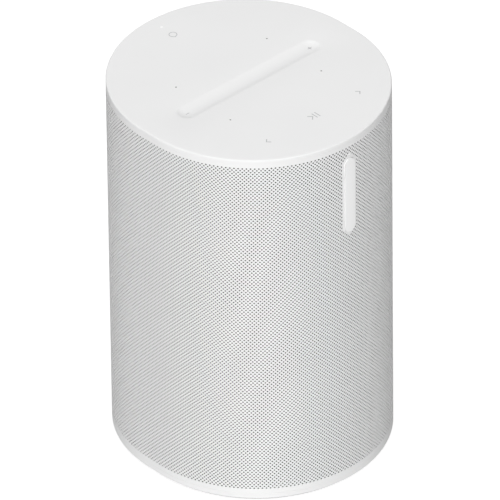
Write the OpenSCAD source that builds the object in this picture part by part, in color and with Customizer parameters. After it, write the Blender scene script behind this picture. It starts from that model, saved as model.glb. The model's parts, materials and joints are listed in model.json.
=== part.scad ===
// Smart speaker, made as the separate pieces that it comes apart into.
// Millimetres, +Z up, front towards -Y, origin at the centre of the foot's underside.
// The plan outline is two half circles joined by short straight sides.
// Most parts are placed by their inset, the distance in from the outer surface.

/* [Body] */
// Width across the straight sides
body_w = 120; // [118:0.5:124]
// Depth from front to back
body_d = 127.5; // [127:0.5:131]
// Height of the top face above the floor
body_h = 182.5; // [181:0.5:190]

/* [Casing] */
// Radius of the top face's edge
rim_r = 0.7; // [0.4:0.1:1.7]
// Radius of the base's lower edge
base_edge_r = 0.6; // [0.2:0.1:0.8]
// Height of the base plate above the floor
base_z = 1.1; // [1:0.1:2]
// Height of the seam between the base plate and the grille
base_seam_z = 3.85; // [3.7:0.05:4]
// Distance from the top face down to the seam above the grille
cap_t = 2; // [1.8:0.05:2.8]
// Width of a seam between two outer pieces
seam = 0.15; // [0.05:0.05:0.3]
// Wall of the grille
grille_t = 1.2; // [0.8:0.1:1.2]
// Wall of the inner housing
wall = 3; // [2.5:0.1:3.5]

/* [Top controls] */
// Length of the finger groove
groove_l = 82.5; // [60:0.5:90]
// Width of the finger groove
groove_w = 9.6; // [7:0.1:11]
// Depth of the finger groove
groove_depth = 1.1; // [0.8:0.1:1.3]
// Microphone holes: distance from the centre line across the width
mic_x = 27.2; // [24:0.1:30]
// Microphone holes: distance from the centre line front to back
mic_y = 17.4; // [14:0.1:20]
// Radius of a microphone hole
mic_r = 0.45; // [0.3:0.05:0.7]

/* [Woofer] */
// Height of the woofer's axis
woofer_z = 60; // [58:0.5:62]
// Outer radius of the woofer's frame
woofer_r = 44; // [44:0.5:45]
// Outer radius of the cone
cone_r = 34; // [33:0.5:34]
// Outer radius of the magnet
magnet_r = 28; // [24:0.5:28]

/* [Tweeters] */
// Height of the tweeters' axes
tweeter_z = 134; // [130:0.5:138]
// Angle of each tweeter out from straight ahead
tweeter_a = 30; // [28:0.5:32]
// Outer radius of a waveguide
guide_r = 20; // [19:0.5:20]

/* [Rear panel] */
// Width of the connector recess
panel_w = 44; // [40:0.5:46]
// Lower edge of the connector recess
panel_z0 = 12; // [11:0.5:12]
// Upper edge of the connector recess
panel_z1 = 74; // [74:0.5:76]
// Height of the power inlet
inlet_z = 24; // [23:0.5:25]
// Height of the data and line-in port
port_z = 40; // [39:0.5:41]
// Height of the microphone switch
switch_z = 52; // [51:0.5:53]
// Height of the pairing button
button_z = 64; // [63:0.5:65]
// Travel of the microphone switch
switch_travel = 3; // [2:0.1:3]

/* [Hidden] */
$fn = 64;
end_r = body_w / 2;
shift = (body_d - body_w) / 2;
cap_z = body_h - cap_t;
grille_z0 = base_seam_z + seam;
grille_z1 = cap_z - seam;
liner_inset = grille_t + 0.2;
liner_t = 0.6;
liner_z0 = base_seam_z + 4.3;
liner_z1 = cap_z - 3.45;
housing_inset = 3.5;
housing_z0 = 8;
housing_z1 = body_h - 10.5;
split_gap = 0.5;
baffle_y = -36;
baffle_t = 4;
far = 200;

// Corner screws that join the base and the cap to the inner housing
corner_x = 44;
corner_y = 24;
// Screws that join the two halves of the inner housing
side_x = 50;
side_heights = [26, 92, 158];
side_head_y = 14;

// Circuit boards stand upright across the body, at these depths
board_t = 1.6;
main_y = 40;
main_w = 72;
main_z0 = 80;
main_z1 = 164;
supply_y = 30;
supply_w = 76;
supply_z0 = 13;
supply_z1 = 76;
io_y = 41.6;
io_board_w = 36;
io_board_z0 = 33;
io_board_z1 = 72;
touch_z = body_h - 4.6;
touch_inset = 10;
panel_y = 52;
panel_t = 3;
floor_y = panel_y + panel_t;
panel_corner = 5;
panel_gap = 0.2;
status_z = body_h - 8.3;
status_tip_r = 0.36;
led_y = 56;
badge_w = 6;
badge_h = 38.5;
badge_z = body_h - 29.5;
insert_bore_r = 2.58;
insert_r = 4.5;
foot_inset = 1.6;
foot_w = 16;
foot_t = 3;

// ---- Shared shapes ----

// The plan outline of the body, shrunk by inset
module outline(inset = 0) {
    r = end_r - inset;
    for (side = [-1, 1])
        translate([0, side * shift])
            circle(r);
    square([2 * r, 2 * shift], center = true);
}

// A solid slice of the body between two heights
module slab(z0, z1, inset = 0) {
    translate([0, 0, z0])
        linear_extrude(z1 - z0)
            outline(inset);
}

// A wall that follows the body between two heights
module shell(z0, z1, inset, thickness) {
    difference() {
        slab(z0, z1, inset);
        slab(z0 - 1, z1 + 1, inset + thickness);
    }
}

// A quarter-round bead along the outline, its flat faces inwards and down
module round_edge(r) {
    for (side = [-1, 1]) {
        translate([0, side * shift, 0])
            rotate([0, 0, side > 0 ? 0 : 180])
                rotate_extrude(angle = 180)
                    translate([end_r - r, 0])
                        intersection() {
                            circle(r);
                            square(r);
                        }
        translate([side * (end_r - r), shift, 0])
            rotate([90, 0, 0])
                linear_extrude(2 * shift)
                    intersection() {
                        circle(r);
                        translate([side > 0 ? 0 : -r, 0])
                            square(r);
                    }
    }
}

// A slab of the full outline whose upper edge is rounded
module rounded_slab(height, r) {
    linear_extrude(height - r)
        outline();
    translate([0, 0, height - r]) {
        linear_extrude(r)
            outline(r);
        round_edge(r);
    }
}

// A box given by its lowest and highest corners
module block(low, high) {
    translate(low)
        cube(high - low);
}

// A rectangle with round corners, centred
module rounded_rect(w, h, r) {
    for (sx = [-1, 1], sy = [-1, 1])
        translate([sx * (w / 2 - r), sy * (h / 2 - r)])
            circle(r);
    square([w - 2 * r, h], center = true);
    square([w, h - 2 * r], center = true);
}

// Turns a flat shape to face front or back, and extrudes it from y0 to y1
module along_y(y0, y1, x = 0, z = 0) {
    translate([x, y1, z])
        rotate([90, 0, 0])
            linear_extrude(y1 - y0)
                children();
}

// A round bar along Y
module bar_y(y0, y1, r, x = 0, z = 0) {
    translate([x, y1, z])
        rotate([90, 0, 0])
            cylinder(r = r, h = y1 - y0);
}

// A pan-head screw that points down, its head's underside at the origin
module screw(shank_r, shank_l, head_r, head_t) {
    slot_w = head_r * 0.3;
    slot_l = head_r * 1.1;
    translate([0, 0, -shank_l])
        cylinder(r = shank_r, h = shank_l);
    difference() {
        cylinder(r = head_r, h = head_t);
        for (turn = [0, 90])
            rotate([0, 0, turn])
                translate([-slot_l / 2, -slot_w / 2, head_t * 0.4])
                    cube([slot_l, slot_w, head_t]);
    }
}

// Copies its children to the four corner screws
module at_corners() {
    for (sx = [-1, 1], sy = [-1, 1])
        translate([sx * corner_x, sy * corner_y, 0])
            children();
}

// Copies its children to the four microphones
module at_mics() {
    for (sx = [-1, 1], sy = [-1, 1])
        translate([sx * mic_x, sy * mic_y, 0])
            children();
}

// The opening in the back of the casing, shrunk by gap on every side
module panel_outline(gap = 0) {
    rounded_rect(panel_w - 2 * gap, panel_z1 - panel_z0 - 2 * gap, panel_corner - gap);
}

module panel_opening(y0, gap) {
    along_y(y0, far, z = (panel_z0 + panel_z1) / 2)
        panel_outline(gap);
}

// ---- Top ----

module groove() {
    r = (groove_w * groove_w / 4 + groove_depth * groove_depth) / (2 * groove_depth);
    hull()
        for (side = [-1, 1])
            translate([side * (groove_l - groove_w) / 2, 0, body_h - groove_depth + r])
                sphere(r, $fn = 48);
}

module top_cap() {
    skirt_z = cap_z - 3.2;
    skirt_inset = 1.5;
    boss_r = 4;
    pilot_r = 1.3;
    color("white")
        difference() {
            union() {
                translate([0, 0, cap_z])
                    rounded_slab(cap_t, rim_r);
                shell(skirt_z, cap_z, skirt_inset, 1.6);
                at_corners()
                    translate([0, 0, housing_z1 + 0.1])
                        cylinder(r = boss_r, h = cap_z - housing_z1);
            }
            groove();
            at_mics()
                translate([0, 0, cap_z - 1])
                    cylinder(r = mic_r, h = cap_t + 2);
            translate([0, led_y, cap_z - 1])
                cylinder(r = 0.7, h = cap_t + 2);
            at_corners()
                translate([0, 0, housing_z1 - 1])
                    cylinder(r = pilot_r, h = cap_z - housing_z1);
        }
}

module touch_board() {
    boss_clearance_r = 4.6;
    color("darkgreen")
        difference() {
            slab(touch_z, touch_z + board_t, touch_inset);
            at_corners()
                translate([0, 0, touch_z - 1])
                    cylinder(r = boss_clearance_r, h = board_t + 2);
            at_mics()
                translate([0, 0, touch_z - 1])
                    cylinder(r = mic_r, h = board_t + 2);
        }
}

module microphones() {
    size = [3.8, 2.8, 1.1];
    color("silver")
        at_mics()
            translate([-size[0] / 2, -size[1] / 2, touch_z - size[2]])
                cube(size);
}

module mic_gaskets() {
    color("dimgray")
        at_mics()
            translate([0, 0, touch_z + board_t])
                difference() {
                    cylinder(r = 2.5, h = cap_z - touch_z - board_t);
                    translate([0, 0, -1])
                        cylinder(r = 0.8, h = 4);
                }
}

module mic_light_pipe() {
    color("whitesmoke")
        translate([0, led_y, 0]) {
            translate([0, 0, touch_z])
                cylinder(r = 1.8, h = cap_z - touch_z);
            translate([0, 0, cap_z])
                cylinder(r = 0.65, h = cap_t);
        }
}

module status_light_pipe() {
    pipe_r = 0.75;
    foot = 2.4;
    back_y = -52;
    front_y = -(body_d / 2);
    neck_y = front_y + grille_t + 0.1;
    color("whitesmoke") {
        bar_y(front_y + 0.05, neck_y + 0.1, status_tip_r, z = status_z);
        bar_y(neck_y, back_y - foot, pipe_r, z = status_z);
        block([-foot / 2, back_y - foot, status_z - foot / 2], [foot / 2, back_y, touch_z - 0.1]);
    }
}

// ---- Casing ----

module badge_outline(gap = 0) {
    rounded_rect(badge_w + 2 * gap, badge_h + 2 * gap, badge_w / 2 + gap - 0.01);
}

module nameplate() {
    proud = 0.5;
    color("gainsboro")
        intersection() {
            along_y(-far, -end_r / 2, z = badge_z)
                badge_outline();
            shell(badge_z - badge_h, badge_z + badge_h, -proud, proud + grille_t - 0.2);
        }
}

module grille() {
    color("white")
        difference() {
            shell(grille_z0, grille_z1, 0, grille_t);
            panel_opening(0, 0);
            bar_y(-far, 0, status_tip_r + 0.1, z = status_z);
            along_y(-far, 0, z = badge_z)
                badge_outline(0.1);
        }
}

module acoustic_liner() {
    color("gray")
        difference() {
            shell(liner_z0, liner_z1, liner_inset, liner_t);
            panel_opening(0, 0);
            bar_y(-far, 0, 0.9, z = status_z);
        }
}

module base_plate() {
    lip_inset = 1.5;
    lip_z = base_seam_z + 2.75;
    standoff_z = housing_z0 - 0.1;
    standoff_r = 5;
    center_r = 8;
    recess = foot_t + 0.1;
    hole_r = 1.6;
    pocket_r = 3;
    pocket_z = 4.9;
    color("white")
        difference() {
            union() {
                translate([0, 0, base_seam_z])
                    mirror([0, 0, 1])
                        rounded_slab(base_seam_z - base_z, base_edge_r);
                slab(base_seam_z, lip_z, lip_inset);
                translate([0, 0, lip_z]) {
                    cylinder(r = center_r, h = standoff_z - lip_z);
                    at_corners()
                        cylinder(r = standoff_r, h = standoff_z - lip_z);
                }
            }
            shell(-1, recess, foot_inset - 0.2, foot_w + 0.4);
            cylinder(r = insert_r, h = far);
            at_corners() {
                cylinder(r = hole_r, h = far);
                cylinder(r = pocket_r, h = pocket_z);
            }
        }
}

module rubber_foot() {
    color("silver")
        shell(0, foot_t, foot_inset, foot_w);
}

module base_screws() {
    color("silver")
        at_corners()
            translate([0, 0, 4.8])
                mirror([0, 0, 1])
                    screw(1.4, 12, 2.8, 1.6);
}

module mounting_insert() {
    top_z = housing_z0 - 0.1;
    color("goldenrod")
        translate([0, 0, base_z])
            difference() {
                cylinder(r = insert_r, h = top_z - base_z);
                translate([0, 0, -1])
                    cylinder(r = insert_bore_r, h = far);
            }
}

// ---- Inner housing ----

module housing_solid() {
    difference() {
        slab(housing_z0, housing_z1, housing_inset);
        slab(housing_z0 + wall, housing_z1 - wall, housing_inset + wall);
    }
}

// Screw holes through the floor and the ceiling
module corner_holes(side) {
    for (sx = [-1, 1])
        translate([sx * corner_x, side * corner_y, 0]) {
            translate([0, 0, housing_z0 - 1])
                cylinder(r = 1.5, h = 11);
            translate([0, 0, housing_z1 - wall - 1])
                cylinder(r = 1.5, h = wall + 2);
        }
}

module floor_bosses(side) {
    for (sx = [-1, 1])
        translate([sx * corner_x, side * corner_y, housing_z0 + 1])
            cylinder(r = 4.3, h = 11);
}

module front_housing() {
    hole_r = 38.5;
    motor_hole_r = 12.2;
    boss_y0 = -14;
    color("dimgray")
        difference() {
            union() {
                intersection() {
                    housing_solid();
                    block([-far, baffle_y, 0], [far, -split_gap, far]);
                }
                intersection() {
                    slab(housing_z0, housing_z1, housing_inset);
                    block([-far, baffle_y, 0], [far, baffle_y + baffle_t, far]);
                }
                intersection() {
                    slab(housing_z0, housing_z1, housing_inset + wall / 2);
                    for (sx = [-1, 1], z = side_heights)
                        bar_y(boss_y0, -split_gap, 4.2, x = sx * side_x, z = z);
                }
                floor_bosses(-1);
            }
            bar_y(baffle_y - 1, baffle_y + baffle_t + 1, hole_r, z = woofer_z);
            for (side = [-1, 1])
                tweeter_frame(side)
                    translate([0, 0, 20])
                        cylinder(r = motor_hole_r, h = 25);
            for (sx = [-1, 1], z = side_heights)
                bar_y(boss_y0 + 1, 1, 1.5, x = sx * side_x, z = z);
            at_woofer_screws()
                cylinder(r = 1.6, h = 20, center = true);
            at_tweeter_screws()
                bar_y(baffle_y - 1, baffle_y + baffle_t + 1, 1.3);
            corner_holes(-1);
        }
}

module rear_housing() {
    color("dimgray")
        difference() {
            union() {
                intersection() {
                    housing_solid();
                    block([-far, split_gap, 0], [far, far, far]);
                }
                intersection() {
                    slab(housing_z0, housing_z1, housing_inset + wall / 2);
                    union() {
                        for (sx = [-1, 1], z = side_heights)
                            bar_y(split_gap, far, 4.2, x = sx * side_x, z = z);
                        at_board_screws()
                            bar_y(board_t + 0.1, far, 3);
                    }
                }
                floor_bosses(1);
            }
            along_y(floor_y - 10, far, z = (panel_z0 + panel_z1) / 2)
                panel_outline(-0.3);
            for (sx = [-1, 1], z = side_heights) {
                bar_y(0, far, 1.5, x = sx * side_x, z = z);
                bar_y(side_head_y, far, 3, x = sx * side_x, z = z);
            }
            at_board_screws()
                bar_y(0, board_t + 6.5, 1.3);
            corner_holes(1);
        }
}

module housing_gasket() {
    color("black")
        intersection() {
            housing_solid();
            block([-far, -split_gap, 0], [far, split_gap, far]);
        }
}

module housing_screws() {
    color("silver")
        for (sx = [-1, 1], z = side_heights)
            translate([sx * side_x, side_head_y, z])
                rotate([-90, 0, 0])
                    screw(1.4, 26, 2.7, 2);
}

module cap_screws() {
    color("silver")
        at_corners()
            translate([0, 0, housing_z1 - wall])
                mirror([0, 0, 1])
                    screw(1.2, 9, 2.7, 2);
}

// ---- Woofer: built around its own axis, pointing forwards from the baffle's face ----

module woofer_frame() {
    translate([0, baffle_y, woofer_z])
        rotate([90, 0, 0])
            children();
}

module at_woofer_screws() {
    woofer_frame()
        for (turn = [45 : 90 : 315])
            rotate([0, 0, turn])
                translate([woofer_r + 2.5, 0, 0])
                    children();
}

flange_z0 = 0.8;
flange_z1 = 3;
basket_floor_z = -26;
plate_z = -30;
magnet_z = -42;
yoke_z = -47;
coil_r = 10.6;
cone_z = -9;
cone_rise = (flange_z1 - 0.6 - cone_z) / (cone_r - 2.5 - coil_r);

module woofer_gasket() {
    color("black")
        woofer_frame()
            difference() {
                cylinder(r = woofer_r, h = flange_z0);
                translate([0, 0, -1])
                    cylinder(r = 38.5, h = 3);
            }
}

module woofer_basket() {
    floor_r = 28;
    window_w = 16;
    color("darkgray")
        woofer_frame()
            difference() {
                union() {
                    rotate_extrude()
                        polygon([
                            [37, flange_z1], [woofer_r, flange_z1], [woofer_r, flange_z0], [38, flange_z0],
                            [37.6, -5], [31.5, -16], [floor_r + 1, basket_floor_z + 2],
                            [floor_r, basket_floor_z], [18, basket_floor_z], [18, basket_floor_z + 2],
                            [26.5, basket_floor_z + 2], [28, -16], [24, -16], [24, -14.6], [29.8, -14.6],
                            [36, -4.5]]);
                    for (turn = [45 : 90 : 315])
                        rotate([0, 0, turn])
                            translate([woofer_r + 2.5, 0, flange_z0])
                                cylinder(r = 4.3, h = flange_z1 - flange_z0);
                }
                translate([0, 0, flange_z0 - 1])
                    cylinder(r = 37, h = 10);
                for (turn = [0 : 60 : 300])
                    rotate([0, 0, turn])
                        translate([20, -window_w / 2, -13.8])
                            cube([30, window_w, 10]);
                for (turn = [45 : 90 : 315])
                    rotate([0, 0, turn])
                        translate([woofer_r + 2.5, 0, 0])
                            cylinder(r = 1.7, h = 10);
            }
}

module woofer_surround() {
    roll_r = 3.3;
    thickness = 0.5;
    mid_r = cone_r + 3.3;
    color("black")
        woofer_frame()
            translate([0, 0, flange_z1]) {
                rotate_extrude()
                    translate([mid_r, 0])
                        difference() {
                            circle(roll_r + thickness);
                            circle(roll_r);
                            translate([-far, -2 * far])
                                square([2 * far, 2 * far]);
                        }
                difference() {
                    cylinder(r = woofer_r - 1.5, h = thickness);
                    translate([0, 0, -1])
                        cylinder(r = mid_r + roll_r, h = 3);
                }
                difference() {
                    cylinder(r = mid_r - roll_r, h = thickness);
                    translate([0, 0, -1])
                        cylinder(r = mid_r - roll_r - 2.5, h = 3);
                }
            }
}

module woofer_cone() {
    thickness = 0.6;
    edge_r = cone_r - 2.5;
    color("darkslategray")
        woofer_frame()
            rotate_extrude()
                polygon([
                    [coil_r + 0.05, cone_z], [edge_r, flange_z1 - thickness],
                    [cone_r, flange_z1 - thickness], [cone_r, flange_z1], [edge_r, flange_z1],
                    [coil_r + 0.05, cone_z + thickness]]);
}

module dust_cap() {
    cap_r = 13;
    sphere_r = 18;
    thickness = 0.5;
    base = cone_z + (cap_r - coil_r) * cone_rise + 0.75;
    center_z = base - sqrt(sphere_r * sphere_r - cap_r * cap_r);
    color("black")
        woofer_frame()
            translate([0, 0, center_z])
                intersection() {
                    difference() {
                        sphere(sphere_r);
                        sphere(sphere_r - thickness);
                    }
                    translate([0, 0, base - center_z])
                        cylinder(r = cap_r, h = sphere_r);
                }
}

module voice_coil() {
    former_t = 0.3;
    former_z0 = -36;
    former_z1 = -6.5;
    winding_t = 0.7;
    winding_h = 10;
    winding_z = (basket_floor_z + plate_z) / 2 - winding_h / 2;
    color("chocolate")
        woofer_frame()
            difference() {
                union() {
                    translate([0, 0, former_z0])
                        cylinder(r = coil_r, h = former_z1 - former_z0);
                    translate([0, 0, winding_z])
                        cylinder(r = coil_r + winding_t, h = winding_h);
                }
                translate([0, 0, former_z0 - 1])
                    cylinder(r = coil_r - former_t, h = far);
            }
}

// Height of the spider's corrugated sheet at radius r
function spider_wave(r) = 0.7 * sin((r - coil_r) * 360 / 3.3);

module woofer_spider() {
    inner_r = coil_r + 0.05;
    outer_r = 27;
    flat_r = 24.2;
    step = 0.55;
    thickness = 0.4;
    land_z = -14.55;
    radii = [for (r = [inner_r : step : flat_r]) r];
    lower = [for (r = radii) [r, land_z + spider_wave(r)]];
    upper = [for (i = [len(radii) - 1 : -1 : 0]) [radii[i], land_z + spider_wave(radii[i]) + thickness]];
    color("peru")
        woofer_frame()
            rotate_extrude()
                polygon(concat(lower, [[outer_r, land_z], [outer_r, land_z + thickness]], upper));
}

module woofer_top_plate() {
    color("silver")
        woofer_frame()
            translate([0, 0, plate_z])
                difference() {
                    cylinder(r = magnet_r - 1, h = basket_floor_z - plate_z);
                    translate([0, 0, -1])
                        cylinder(r = 12, h = far);
                }
}

module woofer_magnet() {
    color("dimgray")
        woofer_frame()
            translate([0, 0, magnet_z])
                difference() {
                    cylinder(r = magnet_r, h = plate_z - magnet_z);
                    translate([0, 0, -1])
                        cylinder(r = 15, h = far);
                }
}

module woofer_yoke() {
    pole_r = 9.6;
    vent_r = 3;
    color("silver")
        woofer_frame()
            difference() {
                union() {
                    translate([0, 0, yoke_z])
                        cylinder(r = magnet_r - 2, h = magnet_z - yoke_z);
                    translate([0, 0, magnet_z])
                        cylinder(r = pole_r, h = basket_floor_z - magnet_z + 0.5);
                }
                translate([0, 0, yoke_z - 1])
                    cylinder(r = vent_r, h = far);
            }
}

module woofer_terminals() {
    tag_w = 2.8;
    color("saddlebrown")
        woofer_frame()
            translate([0, 36.5, -18]) {
                block([-9, -3, -1.6], [9, 1.5, 0]);
                for (sx = [-1, 1])
                    translate([sx * 5, 0, 0])
                        block([-tag_w / 2, -0.4, 0], [tag_w / 2, 0.4, 5]);
            }
}

module woofer_screws() {
    color("black")
        at_woofer_screws()
            translate([0, 0, flange_z1])
                screw(1.5, 9, 3, 1.6);
}

// ---- Tweeters: built around their own axes, pointing out from the body's front centre ----

module tweeter_frame(side) {
    translate([0, -shift, tweeter_z])
        rotate([0, 0, side * tweeter_a])
            rotate([90, 0, 0])
                children();
}

module at_tweeter_screws() {
    screw_x = 18.5;
    screw_dz = 17;
    for (sx = [-1, 1], sz = [-1, 1])
        translate([sx * screw_x, 0, tweeter_z + sz * screw_dz])
            children();
}

dome_z = 44;
dome_r = 7;

module waveguide(side) {
    face_z = 52.5;
    throat_z = 46.5;
    throat_r = dome_r + 0.5;
    mouth_r = guide_r - 2.5;
    motor_z = 43;
    color("gray")
        difference() {
            intersection() {
                tweeter_frame(side)
                    translate([0, 0, 25])
                        cylinder(r = guide_r, h = face_z - 25);
                block([side > 0 ? 0.2 : -far, -far, 0], [side > 0 ? far : -0.2, baffle_y - 0.1, far]);
            }
            tweeter_frame(side) {
                translate([0, 0, throat_z])
                    cylinder(r1 = throat_r, r2 = mouth_r, h = face_z - throat_z + 0.01);
                translate([0, 0, motor_z - 1])
                    cylinder(r = throat_r, h = far);
                cylinder(r = 12.2, h = motor_z);
            }
            at_tweeter_screws()
                bar_y(-44.5, 0, 1.1);
        }
}

module left_waveguide() waveguide(-1);
module right_waveguide() waveguide(1);

module tweeter_dome(side) {
    sphere_r = 11;
    thickness = 0.3;
    center_z = dome_z - sqrt(sphere_r * sphere_r - dome_r * dome_r);
    color("silver")
        tweeter_frame(side) {
            translate([0, 0, center_z])
                intersection() {
                    difference() {
                        sphere(sphere_r);
                        sphere(sphere_r - thickness);
                    }
                    translate([0, 0, dome_z - center_z])
                        cylinder(r = dome_r, h = sphere_r);
                }
            translate([0, 0, dome_z - 7])
                difference() {
                    cylinder(r = dome_r, h = 7);
                    translate([0, 0, -1])
                        cylinder(r = dome_r - 0.4, h = far);
                }
        }
}

module left_tweeter_dome() tweeter_dome(-1);
module right_tweeter_dome() tweeter_dome(1);

module tweeter_motor(side) {
    back_z = 28;
    front_z = 42.9;
    gap_z = 34;
    color("dimgray")
        tweeter_frame(side)
            difference() {
                translate([0, 0, back_z])
                    cylinder(r = 11.6, h = front_z - back_z);
                translate([0, 0, gap_z])
                    difference() {
                        cylinder(r = dome_r + 0.5, h = far);
                        translate([0, 0, -1])
                            cylinder(r = dome_r - 0.8, h = far);
                    }
            }
}

module left_tweeter_motor() tweeter_motor(-1);
module right_tweeter_motor() tweeter_motor(1);

module tweeter_screws() {
    color("black")
        at_tweeter_screws()
            translate([0, baffle_y + baffle_t, 0])
                rotate([-90, 0, 0])
                    screw(1, 11, 2.2, 1.5);
}

// ---- Electronics ----

// Copies its children to the board screws, at the front face of each board
module at_board_screws() {
    for (sx = [-1, 1]) {
        for (z = [main_z0 + 4, main_z1 - 4])
            translate([sx * 31, main_y, z])
                children();
        for (z = [supply_z0 + 5, supply_z1 - 4])
            translate([sx * 34, supply_y, z])
                children();
    }
}

module upright_board(w, y, z0, z1) {
    difference() {
        block([-w / 2, y, z0], [w / 2, y + board_t, z1]);
        at_board_screws()
            bar_y(-1, board_t + 1, 1.5);
    }
}

module main_board() {
    color("darkgreen")
        upright_board(main_w, main_y, main_z0, main_z1);
}

module power_supply_board() {
    tail_r = 1.35;
    color("darkgreen")
        difference() {
            upright_board(supply_w, supply_y, supply_z0, supply_z1);
            for (sx = [-1, 1])
                bar_y(supply_y - 1, supply_y + board_t + 1, tail_r, x = sx * pin_x, z = inlet_z);
        }
}

module board_screws() {
    color("silver")
        at_board_screws()
            rotate([90, 0, 0])
                screw(1.2, 7, 2.4, 1.6);
}

module processor_shield() {
    size = 30;
    height = 3;
    lid_t = 0.4;
    color("lightgray")
        translate([-14, main_y, 142.5])
            difference() {
                block([-size / 2, -height, -size / 2], [size / 2, 0, size / 2]);
                block([-size / 2 + lid_t, -height + lid_t, -size / 2 + lid_t],
                    [size / 2 - lid_t, 1, size / 2 - lid_t]);
            }
}

amp_z = 112;
amp_x = 11;
chip_t = 1.2;

module amplifier_chips() {
    size = 9;
    color("black")
        for (sx = [-1, 1])
            translate([sx * amp_x, main_y, amp_z])
                block([-size / 2, -chip_t, -size / 2], [size / 2, 0, size / 2]);
}

module amplifier_heatsink() {
    w = 44;
    h = 28;
    base_t = 3;
    fin_l = 12;
    fin_t = 1.4;
    fins = 8;
    pitch = (w - fin_t) / (fins - 1);
    face_y = main_y - chip_t;
    color("silver")
        translate([-w / 2, face_y - base_t, amp_z - h / 2]) {
            cube([w, base_t, h]);
            for (i = [0 : fins - 1])
                translate([i * pitch, -fin_l, 0])
                    cube([fin_t, fin_l + 0.01, h]);
        }
}

module board_inductors() {
    size = 8;
    height = 5;
    color("dimgray")
        for (sx = [-1, 1], dz = [-6, 6])
            translate([sx * 29, main_y, amp_z + dz])
                block([-size / 2, -height, -size / 2], [size / 2, 0, size / 2]);
}

module board_capacitors() {
    r = 4;
    height = 12;
    color("darkslateblue")
        for (x = [10, 20, 30], z = [136, 148])
            bar_y(main_y - height, main_y, r, x = x, z = z);
}

module antenna(side) {
    w = 22;
    d = 7;
    t = 0.8;
    color("darkgreen")
        translate([side * 20, 42, housing_z1 + 0.2])
            block([-w / 2, -d / 2, 0], [w / 2, d / 2, t]);
}

module left_antenna() antenna(-1);
module right_antenna() antenna(1);

module transformer() {
    core_w = 24;
    core_h = 26;
    core_y = 13;
    coil_w = 30;
    coil_h = 16;
    color("goldenrod")
        translate([-17, 0, 50]) {
            block([-core_w / 2, core_y, -core_h / 2], [core_w / 2, supply_y, core_h / 2]);
            block([-coil_w / 2, core_y + 3, -coil_h / 2], [coil_w / 2, supply_y - 2, coil_h / 2]);
        }
}

module supply_capacitors() {
    color("black") {
        bar_y(13, supply_y, 8, x = 12, z = 60);
        bar_y(13, supply_y, 8, x = 12, z = 41);
        for (z = [36, 50, 62])
            bar_y(17, supply_y, 4, x = 28, z = z);
    }
}

// ---- Rear panel ----

pin_x = 4.3;
pin_r = 1.2;

module rear_panel() {
    rim_t = 1.6;
    middle_z = (panel_z0 + panel_z1) / 2;
    color("white")
        difference() {
            intersection() {
                slab(panel_z0, panel_z1, 0.15);
                panel_opening(panel_y, panel_gap);
            }
            panel_opening(floor_y, panel_gap + rim_t);
            bar_y(0, far, 4.7, z = button_z);
            along_y(0, far, z = switch_z)
                square([switch_travel + 5, 3.6], center = true);
            along_y(0, far, z = port_z)
                rounded_rect(9.6, 3.9, 1.94);
            along_y(0, far, z = inlet_z)
                rounded_rect(20.4, 12.4, 2.2);
        }
}

module io_board() {
    color("darkgreen")
        block([-io_board_w / 2, io_y, io_board_z0], [io_board_w / 2, io_y + board_t, io_board_z1]);
}

module power_inlet() {
    back_y = 36;
    cavity_y = 41;
    cavity_r = 4.2;
    waist_h = 6.4;
    color("black")
        difference() {
            union() {
                along_y(back_y, floor_y - 0.1, z = inlet_z)
                    rounded_rect(20, 12, 2);
                along_y(panel_y - 2, panel_y - 0.1, z = inlet_z)
                    rounded_rect(24, 14, 2);
            }
            along_y(cavity_y, far, z = inlet_z) {
                for (sx = [-1, 1])
                    translate([sx * pin_x, 0])
                        circle(cavity_r);
                square([2 * pin_x, waist_h], center = true);
            }
            for (sx = [-1, 1])
                bar_y(0, far, pin_r + 0.05, x = sx * pin_x, z = inlet_z);
        }
}

module inlet_pins() {
    color("silver")
        for (sx = [-1, 1])
            bar_y(supply_y - 1, floor_y - 3, pin_r, x = sx * pin_x, z = inlet_z);
}

module data_port() {
    board_face = io_y + board_t;
    w = 8.9;
    h = 3.2;
    shell_t = 0.3;
    color("silver") {
        difference() {
            along_y(board_face, floor_y - 0.3, z = port_z)
                rounded_rect(w, h, h / 2 - 0.01);
            along_y(board_face + 1, far, z = port_z)
                rounded_rect(w - 2 * shell_t, h - 2 * shell_t, h / 2 - shell_t - 0.01);
        }
        along_y(board_face + 0.5, floor_y - 1.5, z = port_z)
            square([6.6, 0.7], center = true);
    }
}

module pairing_button() {
    proud = 1.4;
    color("whitesmoke") {
        bar_y(panel_y - 0.6, floor_y + proud, 4.5, z = button_z);
        bar_y(panel_y - 1.1, panel_y - 0.1, 5.6, z = button_z);
    }
}

module pairing_switch() {
    board_face = io_y + board_t;
    body_t = 4.3;
    plunger_top = panel_y - 1.8;
    color("dimgray") {
        translate([0, board_face, button_z])
            block([-3, 0, -3], [3, body_t, 3]);
        bar_y(board_face + body_t - 0.5, plunger_top, 1.7, z = button_z);
    }
}

module mic_switch_knob() {
    stalk_w = 4;
    color("whitesmoke")
        translate([-switch_travel / 2, 0, switch_z]) {
            block([-stalk_w / 2, panel_y - 5, -1.5], [stalk_w / 2, floor_y + 1.2, 1.5]);
            block([-6, panel_y - 1.4, -2.8], [6, panel_y - 0.4, 2.8]);
        }
}

module mic_switch_body() {
    board_face = io_y + board_t;
    color("dimgray")
        translate([0, board_face, switch_z])
            block([-7, 0, -3], [7, panel_y - 5.3 - board_face, 3]);
}

// ---- Leads: one bend-free tube each, eased from its start to its end ----

function ease(t) = t * t * (3 - 2 * t);
function lead_point(from, to, t) = [
    from[0] + (to[0] - from[0]) * ease(t),
    from[1] + (to[1] - from[1]) * t,
    from[2] + (to[2] - from[2]) * ease(t)];

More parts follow.
